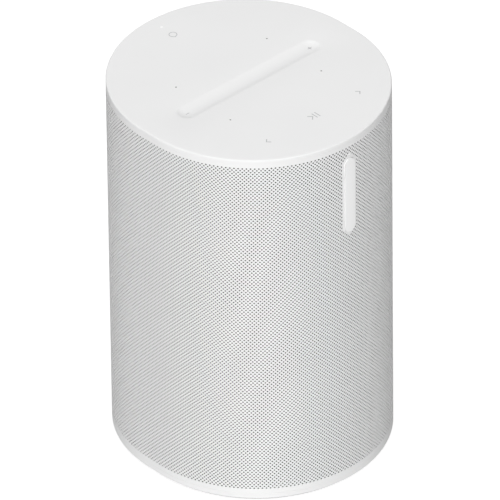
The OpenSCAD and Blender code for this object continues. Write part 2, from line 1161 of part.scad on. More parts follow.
module lead(from, to, r) {
    sides = 8;
    steps = 14;
    rings = [for (i = [0 : steps]) let (c = lead_point(from, to, i / steps))
        for (j = [0 : sides - 1])
            c + [r * cos(j * 360 / sides), 0, r * sin(j * 360 / sides)]];
    walls = [for (i = [0 : steps - 1], j = [0 : sides - 1]) let (k = (j + 1) % sides)
        [i * sides + j, i * sides + k, (i + 1) * sides + k, (i + 1) * sides + j]];
    first = [for (j = [sides - 1 : -1 : 0]) j];
    last = [for (j = [0 : sides - 1]) steps * sides + j];
    polyhedron(points = rings, faces = concat([first], walls, [last]), convexity = 4);
}

module speaker_leads() {
    wire_r = 0.8;
    color("firebrick") {
        for (sx = [-1, 1])
            lead([sx * 5, -15, woofer_z + 39.5], [sx * 3, main_y - 0.1, main_z0 + 8], wire_r);
        for (sx = [-1, 1])
            lead([sx * 12, -27.5, tweeter_z], [8 + sx * 4, main_y - 0.1, tweeter_z - 5], wire_r);
    }
}

top_cap();
touch_board();
microphones();
mic_gaskets();
mic_light_pipe();
status_light_pipe();
nameplate();
grille();
acoustic_liner();
front_housing();
rear_housing();
housing_gasket();
housing_screws();
cap_screws();
woofer_gasket();
woofer_basket();
woofer_surround();
woofer_cone();
dust_cap();
voice_coil();
woofer_spider();
woofer_top_plate();
woofer_magnet();
woofer_yoke();
woofer_terminals();
woofer_screws();
left_waveguide();
right_waveguide();
left_tweeter_dome();
right_tweeter_dome();
left_tweeter_motor();
right_tweeter_motor();
tweeter_screws();
main_board();
processor_shield();
amplifier_chips();
amplifier_heatsink();
board_inductors();
board_capacitors();
board_screws();
left_antenna();
right_antenna();
power_supply_board();
transformer();
supply_capacitors();
rear_panel();
io_board();
power_inlet();
inlet_pins();
data_port();
pairing_button();
pairing_switch();
mic_switch_knob();
mic_switch_body();
speaker_leads();
base_plate();
base_screws();
mounting_insert();
rubber_foot();
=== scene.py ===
"""Looks of the smart speaker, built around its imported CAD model.

Lengths are in millimetres until make_mesh scales them. The camera and the floor are placed in metres.
"""

import json
import math

import bpy
import numpy as np
from mathutils import Matrix, Vector
from mathutils.geometry import delaunay_2d_cdt


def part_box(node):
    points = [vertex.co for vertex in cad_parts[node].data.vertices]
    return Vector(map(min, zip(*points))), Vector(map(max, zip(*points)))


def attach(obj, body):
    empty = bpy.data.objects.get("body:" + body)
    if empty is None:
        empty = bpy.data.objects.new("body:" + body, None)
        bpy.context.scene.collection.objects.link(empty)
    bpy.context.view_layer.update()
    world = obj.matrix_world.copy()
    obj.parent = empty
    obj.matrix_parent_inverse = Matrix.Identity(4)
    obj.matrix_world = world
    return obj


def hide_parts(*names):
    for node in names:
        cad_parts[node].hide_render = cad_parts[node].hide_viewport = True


MM = 0.001
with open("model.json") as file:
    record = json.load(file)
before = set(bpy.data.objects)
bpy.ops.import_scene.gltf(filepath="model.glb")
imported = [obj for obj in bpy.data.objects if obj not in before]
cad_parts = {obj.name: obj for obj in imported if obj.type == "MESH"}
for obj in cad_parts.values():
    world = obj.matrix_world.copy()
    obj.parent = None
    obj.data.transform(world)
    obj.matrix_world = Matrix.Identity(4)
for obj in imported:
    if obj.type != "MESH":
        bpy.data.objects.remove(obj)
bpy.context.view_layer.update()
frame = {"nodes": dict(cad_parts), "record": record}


def box_mm(node):
    """The lowest and highest corners of a CAD node, in millimetres."""
    low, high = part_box(node)
    return np.array(low) / MM, np.array(high) / MM


# ---- Sizes read from the frame ----

grille_low, grille_high = box_mm("grille")
_, cap_high = box_mm("top_cap")
base_low, base_high = box_mm("base_plate")
liner_low, liner_high = box_mm("acoustic_liner")
panel_low, panel_high = box_mm("rear_panel")
badge_low, badge_high = box_mm("nameplate")
led_low, led_high = box_mm("mic_light_pipe")
_, mic_high = box_mm("mic_gaskets")

# In plan the body is two half circles of radius END_R, set SHIFT in front of and behind the middle.
END_R = (grille_high[0] - grille_low[0]) / 2
SHIFT = (grille_high[1] - grille_low[1]) / 2 - END_R
PERIMETER = 2 * math.pi * END_R + 4 * SHIFT
TOP_Z = cap_high[2]
BASE_Z = base_low[2]

# The grille's gap to the cap and the base: as the CAD leaves it, and as it is drawn here.
CAD_SEAM = 0.15
SEAM = 0.04
SEAM_TOP_Z = grille_high[2] + CAD_SEAM
SEAM_LOW_Z = grille_low[2] - CAD_SEAM
GRILLE_Z0 = SEAM_LOW_Z + SEAM
GRILLE_Z1 = SEAM_TOP_Z - SEAM
GRILLE_T = 0.3

# Roundings of the top rim and the lower edge, and how far below or above them a support ring lies.
RIM_R = 0.7
BASE_EDGE_R = 0.6
SUPPORT = 0.15

# ---- Camera: a long lens at the reference view's angle ----

CAMERA_AZIMUTH = -42.742
CAMERA_ELEVATION = 35.146
CAMERA_ROLL = -0.662
CAMERA_DISTANCE = 5.5944
CAMERA_LENS = 913.6
CAMERA_SHIFT = (-0.00138, -0.00062)
CAMERA_TARGET_Z = 0.09125
CAMERA_SENSOR = 36
CAMERA_CLIP = (0.5, 50)


def direction(azimuth, elevation):
    """The unit vector towards an azimuth and elevation in degrees, azimuth 0 being the front."""
    azimuth, elevation = math.radians(azimuth), math.radians(elevation)
    flat = math.cos(elevation)
    return Vector((math.sin(azimuth) * flat, -math.cos(azimuth) * flat, math.sin(elevation)))


def make_camera():
    """The camera, which looks at the middle of the body's axis."""
    back = direction(CAMERA_AZIMUTH, CAMERA_ELEVATION)
    data = bpy.data.cameras.new("camera")
    data.sensor_width = CAMERA_SENSOR
    data.lens = CAMERA_LENS
    data.shift_x, data.shift_y = CAMERA_SHIFT
    data.clip_start, data.clip_end = CAMERA_CLIP
    camera = bpy.data.objects.new("camera", data)
    bpy.context.scene.collection.objects.link(camera)
    place = Vector((0, 0, CAMERA_TARGET_Z)) + back * CAMERA_DISTANCE
    turn = back.to_track_quat("Z", "Y").to_matrix().to_4x4()
    roll = Matrix.Rotation(math.radians(CAMERA_ROLL), 4, "Z")
    camera.matrix_world = Matrix.Translation(place) @ turn @ roll
    bpy.context.scene.camera = camera


# ---- Materials ----


def new_material(name, colour, roughness, **values):
    """A Principled material with plain values, and its node tree."""
    material = bpy.data.materials.new(name)
    material.use_nodes = True
    shader = material.node_tree.nodes["Principled BSDF"]
    shader.inputs["Base Color"].default_value = (*colour, 1)
    shader.inputs["Roughness"].default_value = roughness
    for key, value in values.items():
        shader.inputs[key.replace("_", " ")].default_value = value
    material.diffuse_color = (*colour, 1)
    return material, material.node_tree, shader


def noise(tree, scale, detail=3.0, stretch=(1, 1, 1)):
    """A noise over the object's own coordinates, in metres."""
    place = tree.nodes.new("ShaderNodeTexCoord")
    mapping = tree.nodes.new("ShaderNodeMapping")
    mapping.inputs["Scale"].default_value = stretch
    texture = tree.nodes.new("ShaderNodeTexNoise")
    texture.inputs["Scale"].default_value = scale
    texture.inputs["Detail"].default_value = detail
    tree.links.new(place.outputs["Object"], mapping.inputs["Vector"])
    tree.links.new(mapping.outputs["Vector"], texture.inputs["Vector"])
    return texture.outputs["Fac"]


def ramp(tree, source, low, high, start=0.3, end=0.7):
    """Turns a 0 to 1 value into a colour between low and high."""
    node = tree.nodes.new("ShaderNodeValToRGB")
    node.color_ramp.elements[0].position = start
    node.color_ramp.elements[1].position = end
    node.color_ramp.elements[0].color = (*low, 1)
    node.color_ramp.elements[1].color = (*high, 1)
    tree.links.new(source, node.inputs["Fac"])
    return node.outputs["Color"]


def spread(tree, source, low, high):
    """Maps a noise's middle range to low..high."""
    node = tree.nodes.new("ShaderNodeMapRange")
    node.inputs["From Min"].default_value = 0.3
    node.inputs["From Max"].default_value = 0.7
    node.inputs["To Min"].default_value = low
    node.inputs["To Max"].default_value = high
    tree.links.new(source, node.inputs["Value"])
    return node.outputs["Result"]


def math_node(tree, operation, first, second):
    """The result of a math node, each of whose two inputs is a socket or a number."""
    node = tree.nodes.new("ShaderNodeMath")
    node.operation = operation
    for socket, value in zip(node.inputs, (first, second)):
        if isinstance(value, (int, float)):
            socket.default_value = value
        else:
            tree.links.new(value, socket)
    return node.outputs[0]


def add_bump(tree, shader, height, distance, strength):
    """Tilts the shader's normal by a height between 0 and 1, distance metres deep."""
    bump = tree.nodes.new("ShaderNodeBump")
    bump.inputs["Distance"].default_value = distance
    bump.inputs["Strength"].default_value = strength
    tree.links.new(height, bump.inputs["Height"])
    tree.links.new(bump.outputs["Normal"], shader.inputs["Normal"])


def tinted(colour, factor):
    """The colour made lighter or darker."""
    return tuple(min(1.0, c * factor) for c in colour)


def moulded_plastic(name, colour, roughness, vary=0.02, grain=2200, depth=0.00002, bump=0.25, **values):
    """Matt moulded plastic: a slow tone drift, and a fine spark-eroded grain."""
    material, tree, shader = new_material(name, colour, roughness, **values)
    drift = noise(tree, 28, 2)
    tone = ramp(tree, drift, tinted(colour, 1 - vary), tinted(colour, 1 + vary))
    tree.links.new(tone, shader.inputs["Base Color"])
    fine = noise(tree, grain, 2)
    tree.links.new(spread(tree, fine, roughness - 0.05, roughness + 0.05), shader.inputs["Roughness"])
    if bump:
        add_bump(tree, shader, fine, depth, bump)
    return material


def metal(name, colour, roughness, stretch=(1, 1, 1), grain=900):
    """Bare or plated metal with fine brushed or cast variation."""
    material, tree, shader = new_material(name, colour, roughness, Metallic=1.0)
    lines = noise(tree, grain, 3, stretch)
    tree.links.new(spread(tree, lines, roughness - 0.08, roughness + 0.1), shader.inputs["Roughness"])
    tree.links.new(ramp(tree, lines, tinted(colour, 0.9), tinted(colour, 1.06)), shader.inputs["Base Color"])
    return material


def woven(name, colour, thread=0.0006, depth=0.00008):
    """Plain weave: two crossed wave patterns drive the tone and the bump."""
    material, tree, shader = new_material(name, colour, 0.9, Sheen_Weight=0.2, Sheen_Roughness=0.5)
    place = tree.nodes.new("ShaderNodeTexCoord")
    waves = []
    for axis in ("X", "Z"):
        wave = tree.nodes.new("ShaderNodeTexWave")
        wave.bands_direction = axis
        wave.inputs["Scale"].default_value = 1 / (thread * 20)
        wave.inputs["Distortion"].default_value = 0.4
        tree.links.new(place.outputs["Object"], wave.inputs["Vector"])
        waves.append(wave.outputs["Fac"])
    cross = math_node(tree, "MULTIPLY", *waves)
    tone = ramp(tree, cross, tinted(colour, 0.75), tinted(colour, 1.15), 0.0, 0.8)
    tree.links.new(tone, shader.inputs["Base Color"])
    add_bump(tree, shader, cross, depth, 0.5)
    return material


def circuit_board(name, colour):
    """Solder mask over a faint grid of tracks."""
    material, tree, shader = new_material(name, colour, 0.38, Coat_Weight=0.3, Coat_Roughness=0.2)
    place = tree.nodes.new("ShaderNodeTexCoord")
    cells = tree.nodes.new("ShaderNodeTexBrick")
    cells.inputs["Scale"].default_value = 220
    cells.inputs["Mortar Size"].default_value = 0.05
    cells.inputs["Color1"].default_value = (*colour, 1)
    cells.inputs["Color2"].default_value = (*tinted(colour, 0.8), 1)
    cells.inputs["Mortar"].default_value = (*tinted(colour, 1.7), 1)
    turn = tree.nodes.new("ShaderNodeMapping")
    turn.inputs["Rotation"].default_value = (math.pi / 2, 0, 0)
    tree.links.new(place.outputs["Object"], turn.inputs["Vector"])
    tree.links.new(turn.outputs["Vector"], cells.inputs["Vector"])
    tree.links.new(cells.outputs["Color"], shader.inputs["Base Color"])
    return material


WHITE = (0.8, 0.8, 0.8)
MARK_GREY = (0.48, 0.48, 0.49)
CLOTH_BLACK = (0.03, 0.03, 0.031)
LAMP_GLOW = 0.05

cap_plastic = moulded_plastic("cap_plastic", WHITE, 0.5, vary=0.006, bump=0.12)
grille_plastic = moulded_plastic("grille_plastic", WHITE, 0.45, vary=0.008, bump=0)
panel_plastic = moulded_plastic("panel_plastic", WHITE, 0.5, vary=0.01, bump=0.2)
badge_plastic = moulded_plastic("badge_plastic", (0.9, 0.9, 0.9), 0.35, vary=0.004, bump=0.05)
mark_ink = moulded_plastic("mark_ink", MARK_GREY, 0.55, vary=0.02, bump=0)
hem_cloth = woven("hem_cloth", CLOTH_BLACK)

lamp = {"Emission_Color": (1, 1, 1, 1), "Emission_Strength": LAMP_GLOW}

# The look of a material slot in the record: its maker, its colour, its roughness, or for a cloth the
# thickness of its thread in metres, and what else the maker takes.
CAD_LOOKS = {
    "light_pipe": (moulded_plastic, (0.95, 0.95, 0.95), 0.2, {"vary": 0.004, "bump": 0, **lamp}),
    "housing_plastic": (moulded_plastic, (0.06, 0.06, 0.062), 0.6, {"vary": 0.1}),
    "waveguide_plastic": (moulded_plastic, (0.04, 0.04, 0.042), 0.4, {"vary": 0.1}),
    "component_plastic": (moulded_plastic, (0.03, 0.03, 0.032), 0.5, {"vary": 0.1}),
    "inlet_plastic": (moulded_plastic, (0.6, 0.6, 0.605), 0.5, {"vary": 0.03}),
    "lead_insulation": (moulded_plastic, (0.4, 0.02, 0.02), 0.45, {"vary": 0.1}),
    "seal_rubber": (moulded_plastic, (0.025, 0.025, 0.026), 0.75, {"vary": 0.15, "grain": 900}),
    "foot_rubber": (moulded_plastic, (0.42, 0.42, 0.425), 0.8, {"vary": 0.06, "grain": 700}),
    "cone_paper": (moulded_plastic, (0.06, 0.06, 0.065), 0.85, {"vary": 0.2, "grain": 500}),
    "ferrite": (moulded_plastic, (0.06, 0.06, 0.065), 0.7, {"vary": 0.2, "grain": 600}),
    "winding": (moulded_plastic, (0.7, 0.5, 0.08), 0.35, {"vary": 0.08, "grain": 400}),
    "black_steel": (moulded_plastic, (0.03, 0.03, 0.032), 0.4, {"vary": 0.1, "Metallic": 0.6}),
    "basket_metal": (moulded_plastic, (0.05, 0.05, 0.055), 0.45, {"vary": 0.1, "Metallic": 0.4}),
    "steel": (metal, (0.62, 0.62, 0.64), 0.32, {}),
    "copper": (metal, (0.72, 0.34, 0.18), 0.3, {"stretch": (1, 12, 1)}),
    "dome_metal": (metal, (0.7, 0.7, 0.72), 0.28, {}),
    "heatsink_aluminium": (metal, (0.66, 0.66, 0.68), 0.4, {"stretch": (1, 1, 14)}),
    "insert_brass": (metal, (0.78, 0.6, 0.28), 0.3, {}),
    "acoustic_cloth": (woven, CLOTH_BLACK, 0.0006, {}),
    "spider_cloth": (woven, (0.55, 0.38, 0.16), 0.0008, {}),
}


def dress_cad_nodes():
    """Gives every CAD node the look of its material slot in the record."""
    looks = {
        "casing_plastic": panel_plastic,
        "grille_plastic": grille_plastic,
        "badge_plastic": badge_plastic,
        "circuit_board": circuit_board("circuit_board", (0.02, 0.14, 0.06)),
    }
    for slot, (make, colour, finish, options) in CAD_LOOKS.items():
        looks[slot] = make(slot, colour, finish, **options)
    for part in frame["record"]["subparts"]:
        node = frame["nodes"][part["node"]]
        node.data.materials.clear()
        node.data.materials.append(looks[part["material_slot"]])


# ---- Plan outline and mesh helpers ----

LEVEL_TOLERANCE = 1e-4
MERGE_DISTANCE = 1e-5
SLIVER_AREA = 1e-9


def on_outline(s, inset):
    """Points and outward normals at arc length s round the outer outline, shrunk by inset.
    s starts at the front centre and runs towards +X."""
    quarter = END_R * math.pi / 2
    straight = 2 * SHIFT
    s = np.mod(np.asarray(s, float), PERIMETER)
    ends = np.cumsum([quarter, straight, 2 * quarter, straight])
    part = np.searchsorted(ends, s, side="right")
    starts = np.concatenate([[0], ends])[part]
    local = (s - starts) / END_R
    angle = np.select(
        [part == 0, part == 1, part == 2, part == 3],
        [-math.pi / 2 + local, np.zeros_like(s), local, np.full_like(s, math.pi)],
        math.pi + local,
    )
    middle = np.select(
        [part == 0, part == 1, part == 2, part == 3],
        [np.full_like(s, -SHIFT), -SHIFT + (s - starts), np.full_like(s, SHIFT), SHIFT - (s - starts)],
        -SHIFT,
    )
    normal = np.stack([np.cos(angle), np.sin(angle)], -1)
    point = normal * (END_R - inset)
    point[..., 1] += middle
    return point, normal


def wall_points(s, z, inset):
    """3D points on the body's wall."""
    point, _ = on_outline(s, inset)
    return np.concatenate([point, np.asarray(z, float)[..., None]], -1)


def make_mesh(name, vertices, triangles, quads, material, sharp_edges=None, body="casing", uv=None):
    """An object from arrays of corners in millimetres, smooth except where it is level."""
    triangles = np.asarray(triangles, np.int32).reshape(-1, 3)
    quads = np.asarray(quads, np.int32).reshape(-1, 4)
    mesh = bpy.data.meshes.new(name)
    mesh.vertices.add(len(vertices))
    mesh.vertices.foreach_set("co", (np.asarray(vertices, np.float64) * MM).astype(np.float32).ravel())
    loops = np.concatenate([triangles.ravel(), quads.ravel()])
    mesh.loops.add(len(loops))
    mesh.loops.foreach_set("vertex_index", loops)
    count = len(triangles) + len(quads)
    starts = np.concatenate(
        [np.arange(len(triangles)) * 3, len(triangles) * 3 + np.arange(len(quads)) * 4]
    ).astype(np.int32)
    mesh.polygons.add(count)
    mesh.polygons.foreach_set("loop_start", starts)
    heights = np.asarray(vertices)[:, 2]
    rise = np.concatenate([np.ptp(heights[triangles], axis=1), np.ptp(heights[quads], axis=1)])
    mesh.polygons.foreach_set("use_smooth", rise >= LEVEL_TOLERANCE)
    mesh.update(calc_edges=True)
    if sharp_edges is not None and len(sharp_edges):
        pairs = np.zeros(len(mesh.edges) * 2, np.int32)
        mesh.edges.foreach_get("vertices", pairs)
        keys = edge_keys(pairs.reshape(-1, 2), len(vertices))
        sharp = np.isin(keys, edge_keys(np.asarray(sharp_edges), len(vertices)))
        mesh.attributes.new("sharp_edge", "BOOLEAN", "EDGE").data.foreach_set("value", sharp)
    if uv is not None:
        layer = mesh.uv_layers.new(name="OFBake")
        layer.data.foreach_set("uv", np.asarray(uv, np.float32)[loops].ravel())
    mesh.validate()
    piece = bpy.data.objects.new(name, mesh)
    bpy.context.scene.collection.objects.link(piece)
    mesh.materials.append(material)
    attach(piece, body)
    return piece


def edge_keys(pairs, count):
    """One number for each edge, the same in both directions."""
    pairs = np.sort(np.asarray(pairs, np.int64), axis=1)
    return pairs[:, 0] * count + pairs[:, 1]


def open_edges(triangles, count):
    """The directed edges that only one triangle uses."""
    edges = np.concatenate([triangles[:, [0, 1]], triangles[:, [1, 2]], triangles[:, [2, 0]]])
    keys = edge_keys(edges, count)
    _, first, uses = np.unique(keys, return_index=True, return_counts=True)
    return edges[first[uses == 1]]


def thicken(front, back, triangles):
    """Closes two matching sheets into one solid: corners, triangles, side quads and their rims."""
    count = len(front)
    rim = open_edges(triangles, count)
    vertices = np.concatenate([front, back])
    faces = np.concatenate([triangles, triangles[:, ::-1] + count])
    sides = np.stack([rim[:, 1], rim[:, 0], rim[:, 0] + count, rim[:, 1] + count], -1)
    return vertices, faces, sides, np.concatenate([rim, rim + count])


def arc(center_x, center_y, radius, start, end, steps):
    """Points along an arc between two angles in degrees."""
    angles = np.radians(np.linspace(start, end, steps))
    return np.stack([center_x + radius * np.cos(angles), center_y + radius * np.sin(angles)], -1)


def rounded_rectangle(center, size, radius, steps=10):
    """A closed anticlockwise loop of points."""
    w, h = size[0] / 2 - radius, size[1] / 2 - radius
    corners = ((w, h, 0), (-w, h, 90), (-w, -h, 180), (w, -h, 270))
    parts = [arc(center[0] + x, center[1] + y, radius, a, a + 90, steps) for x, y, a in corners]
    return np.concatenate(parts)


def subdivided(loop, step):
    """The closed loop with extra points, so that no side is longer than step."""
    result = []
    for a, b in zip(loop, np.roll(loop, -1, 0)):
        pieces = max(1, int(math.ceil(np.linalg.norm(b - a) / step)))
        result += [a + (b - a) * i / pieces for i in range(pieces)]
    return np.array(result)


def inside_loop(points, loop):
    """Which points are inside a closed loop, by counting crossings."""
    x, y = points[:, 0], points[:, 1]
    inside = np.zeros(len(points), bool)
    for (ax, ay), (bx, by) in zip(loop, np.roll(loop, -1, 0)):
        if ay == by:
            continue
        crosses = (ay > y) != (by > y)
        inside ^= crosses & (x < (bx - ax) * (y - ay) / (by - ay) + ax)
    return inside


def add_line(points, edges, line, closed=True):
    """Adds a line's points, and the edges between them, to the two lists."""
    start = len(points)
    points.extend(line)
    steps = len(line) if closed else len(line) - 1
    edges.extend((start + k, start + (k + 1) % len(line)) for k in range(steps))


def fill_between(points, edges):
    """Delaunay triangles of points that keep the given edges. Returns the points, which may be
    merged, and anticlockwise triangles."""
    flat, _, triangles, _, _, _ = delaunay_2d_cdt(
        [Vector(p) for p in points], [tuple(map(int, e)) for e in edges], [], 0, MERGE_DISTANCE
    )
    flat = np.array([tuple(p) for p in flat])
    triangles = np.array([t for t in triangles if len(t) == 3], int)
    a, b, c = flat[triangles[:, 0]], flat[triangles[:, 1]], flat[triangles[:, 2]]
    area = (b[:, 0] - a[:, 0]) * (c[:, 1] - a[:, 1]) - (b[:, 1] - a[:, 1]) * (c[:, 0] - a[:, 0])
    triangles[area < 0] = triangles[area < 0][:, ::-1]
    return flat, triangles[np.abs(area) > SLIVER_AREA]


# ---- Perforated grille ----

# Sectors of the grille, in hole columns, from the one centred on the badge towards +X.
# The fifth is centred on the rear panel. Each stays under 200,000 triangles.
SECTOR_COLUMNS = (25, 27, 27, 26, 31, 27, 27, 27)
COLUMNS = sum(SECTOR_COLUMNS)
HOLE_R = 0.39
HOLE_BACK_R = 0.51
HOLE_SIDES = 8
FIRST_ROW_Z = 6.8
LAST_ROW_Z = TOP_Z - 4.5
ROWS = 181
HALF_PITCH = PERIMETER / COLUMNS / 2
ROW_STEP = (LAST_ROW_Z - FIRST_ROW_Z) / (ROWS - 1)
LATTICE_SCALE = np.array([HALF_PITCH, ROW_STEP])
LATTICE_ORIGIN = np.array([0, FIRST_ROW_Z])
RIM_TOLERANCE = 0.002

# Openings in the grille: how much wider they are than the piece in them, their corners, the width of
# the unperforated surround, and the longest side along them.
PANEL_GAP = 0.4
PANEL_CORNER_R = 5
BADGE_GAP = 0.2
OPENING_MARGIN = 0.5
OPENING_STEP = 1.6


def cutouts():
    """Closed loops, in arc length and height, that the grille leaves open."""
    panel_w = panel_high[0] - panel_low[0] + PANEL_GAP
    half_arc = END_R * math.asin(panel_w / 2 / END_R)
    panel_z = (panel_low[2] + panel_high[2]) / 2
    panel_h = panel_high[2] - panel_low[2] + PANEL_GAP
    badge_w = badge_high[0] - badge_low[0] + BADGE_GAP
    badge_h = badge_high[2] - badge_low[2] + BADGE_GAP
    badge_z = (badge_low[2] + badge_high[2]) / 2
    panel = rounded_rectangle((PERIMETER / 2, panel_z), (2 * half_arc, panel_h), PANEL_CORNER_R)
    badge = rounded_rectangle((0, badge_z), (badge_w, badge_h), badge_w / 2 - 0.01, 9)
    return [panel, badge]


def grown(loop, margin):
    """The loop moved outwards by about margin from its centre box."""
    center = (loop.max(0) + loop.min(0)) / 2
    half = (loop.max(0) - loop.min(0)) / 2
    return center + (loop - center) * (half + margin) / half


def kept_holes(loops):
    """A table of which lattice cells (half pitch, row) hold a hole."""
    i, j = np.meshgrid(np.arange(2 * COLUMNS), np.arange(ROWS), indexing="ij")
    kept = (i + j) % 2 == 0
    s = i * HALF_PITCH
    s = np.where(s > PERIMETER * 0.75, s - PERIMETER, s)
    z = FIRST_ROW_Z + j * ROW_STEP
    for loop in loops:
        for di, dj in ((0, 0), (1, 0), (-1, 0), (0, 1), (0, -1)):
            corners = np.stack([(s + di * HALF_PITCH).ravel(), (z + dj * ROW_STEP).ravel()], -1)
            kept &= ~inside_loop(corners, grown(loop, OPENING_MARGIN)).reshape(kept.shape)
    return kept


def hole_cells(holes):
    """Corners and triangles of the diamond cells round each hole, in half pitches and rows."""
    count = len(holes)
    turn = np.arange(HOLE_SIDES) * 2 * math.pi / HOLE_SIDES
    ring = np.stack([np.cos(turn) * HOLE_R / HALF_PITCH, np.sin(turn) * HOLE_R / ROW_STEP], -1)
    rings = (holes[:, None, :] + ring).reshape(-1, 2)
    compass = np.array([(1, 0), (0, 1), (-1, 0), (0, -1)])
    corners, index = np.unique((holes[:, None, :] + compass).reshape(-1, 2), axis=0, return_inverse=True)
    corner = index.reshape(count, 4) + len(rings)
    rim = np.arange(count)[:, None] * HOLE_SIDES + np.arange(HOLE_SIDES)
    triangles = []
    for quadrant in range(4):
        here, there = corner[:, quadrant], corner[:, (quadrant + 1) % 4]
        a, b, c = (rim[:, (2 * quadrant + k) % HOLE_SIDES] for k in range(3))
        triangles += [np.stack(t, -1) for t in ((here, b, a), (here, there, b), (there, c, b))]
    return np.concatenate([rings, corners.astype(float)]), np.concatenate(triangles), len(rings)


def nearest_cell(points):
    """The middle of the diamond cell that each point lies in, all in half pitches and rows."""
    a = np.round((points[:, 0] + points[:, 1]) / 2)
    b = np.round((points[:, 0] - points[:, 1]) / 2)
    return np.stack([a + b, a - b], -1)


def in_a_cell(points, kept):
    """Which points, in half pitches and rows, lie in the cell of a kept hole."""
    i, j = nearest_cell(points).astype(int).T
    real = (j >= 0) & (j < ROWS)
    return real & kept[np.mod(i, 2 * COLUMNS), np.clip(j, 0, ROWS - 1)]


def row_ends(first, last):
    """The lattice columns at which a sector's lowest and highest rows begin and end."""
    shift = (ROWS - 1) % 2
    return {0: (first - 1, last - 1), ROWS - 1: (first - 1 + shift, last - 1 + shift)}


def border_line(row, left, right, z_edge):
    """The sheet's edge at height z_edge, joined at both ends to the row next to it."""
    across = np.arange(left, right + 1) * HALF_PITCH
    border = np.stack([across, np.full(len(across), z_edge)], -1)
    z_row = FIRST_ROW_Z + row * ROW_STEP
    return [(left * HALF_PITCH, z_row), *border, (right * HALF_PITCH, z_row)]


def off_the_sheet(points, first, last, kept, openings):
    """Which points lie in a hole's cell, in an opening or past the sector's sides."""
    cell = (points - LATTICE_ORIGIN) / LATTICE_SCALE
    off = in_a_cell(cell, kept)
    ends = row_ends(first, last)
    for row, beyond in ((0, cell[:, 1] < 0), (ROWS - 1, cell[:, 1] > ROWS - 1)):
        left, right = ends[row]
        off |= beyond & ((cell[:, 0] < left) | (cell[:, 0] > right))
    off |= (cell[:, 0] < first - 1) | (cell[:, 0] > last)
    for loop in openings:
        off |= inside_loop(points, loop)
    return off


def sector_sheet(first, last, kept, loops):
    """The flat sheet of one sector, from lattice column first up to last: points in arc length
    and height, and triangles. The cells of the holes are laid out first, and the rest is filled."""
    i, j = np.meshgrid(np.arange(first, last), np.arange(ROWS), indexing="ij")
    there = kept[np.mod(i, 2 * COLUMNS), j] & ((i + j) % 2 == 0)
    points, triangles, rim_count = hole_cells(np.stack([i[there], j[there]], -1))
    edge = open_edges(triangles, len(points))
    edge = edge[(edge >= rim_count).all(1)]
    points = points * LATTICE_SCALE + LATTICE_ORIGIN
    used = np.unique(edge)
    outline = list(points[used])
    links = list(np.searchsorted(used, edge))
    ends = row_ends(first, last)
    for row, z_edge in ((0, GRILLE_Z0), (ROWS - 1, GRILLE_Z1)):
        add_line(outline, links, border_line(row, *ends[row], z_edge), closed=False)
    openings = []
    for loop in loops:
        middle = (loop.max(0) + loop.min(0))[0] / 2
        if first * HALF_PITCH < middle < last * HALF_PITCH:
            openings.append(subdivided(loop, OPENING_STEP))
            add_line(outline, links, openings[-1])
    flat, fill = fill_between(outline, links)
    fill = fill[~off_the_sheet(flat[fill].mean(1), first, last, kept, openings)]
    corners = np.round(np.concatenate([points, flat]), 5)
    merged, index = np.unique(corners, axis=0, return_inverse=True)
    index = index.ravel()
    return merged, np.concatenate([index[triangles], index[fill + len(points)]])


def flared(flat, kept):
    """The sheet's points with every hole widened to its radius at the back."""
    cell = (flat - LATTICE_ORIGIN) / LATTICE_SCALE
    center = nearest_cell(cell) * LATTICE_SCALE + LATTICE_ORIGIN
    arm = flat - center
    on_rim = np.abs(np.linalg.norm(arm, axis=1) - HOLE_R) < RIM_TOLERANCE
    on_rim &= in_a_cell(cell, kept)
    return np.where(on_rim[:, None], center + arm * HOLE_BACK_R / HOLE_R, flat)


def build_grille():
    """The perforated sheet, in sectors that meet edge to edge."""
    loops = cutouts()
    kept = kept_holes(loops)
    first = -(SECTOR_COLUMNS[0] - 1)
    for number, columns in enumerate(SECTOR_COLUMNS):
        last = first + 2 * columns
        flat, triangles = sector_sheet(first, last, kept, loops)
        front = wall_points(flat[:, 0], flat[:, 1], 0)
        wide = flared(flat, kept)
        back = wall_points(wide[:, 0], wide[:, 1], GRILLE_T)
        vertices, faces, sides, rims = thicken(front, back, triangles)
        uv = (flat - flat.min(0)) / (flat.max(0) - flat.min(0))
        uv = np.concatenate([uv, uv])
        name = f"grille_{number + 1}"
        piece = make_mesh(name, vertices, faces, sides, grille_plastic, rims, uv=uv)
        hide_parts("grille")
        first = last


# ---- Top cap ----

OUTLINE_STEPS = 288
GROOVE_L = 82.5
GROOVE_W = 9.6
GROOVE_DEPTH = 1.1
GROOVE_EDGE_R = 0.35
GROOVE_END_STEPS = 16
MIC_R = 0.45
MIC_GASKET_R = 2.5
LED_HOLE_R = 0.66
CAP_SKIRT_INSET = 1.5
CAP_SKIRT_T = 1.6
CAP_SKIRT_H = 3.2


def outline_ring(inset, z):
    """A level ring of corners that follows the outline."""
    s = np.arange(OUTLINE_STEPS) * PERIMETER / OUTLINE_STEPS
    return wall_points(s, np.full(OUTLINE_STEPS, z), inset)


def at_height(points, z):
    """Points of a flat loop, raised to z."""
    return np.column_stack([points, np.full(len(points), z)])


def ring_quads(lower, upper, count):
    """Quads between two rings of the same number of corners, given their first indices."""
    k = np.arange(count)
    after = (k + 1) % count
    return np.stack([lower + k, lower + after, upper + after, upper + k], -1)


def stack_rings(rings):
    """Corners and quads of closed rings stacked in order."""
    count = len(rings[0])
    quads = [ring_quads(n * count, (n + 1) * count, count) for n in range(len(rings) - 1)]
    return np.concatenate(rings), np.concatenate(quads)


def fillet(inset_start, z_start, radius, towards, steps=13):
    """Insets and heights of a quarter round from the wall to a flat face."""
    turn = np.radians(np.linspace(0, 90, steps))
    insets = inset_start + radius * (1 - np.cos(turn))
    heights = z_start + towards * radius * np.sin(turn)
    return list(zip(insets, heights))


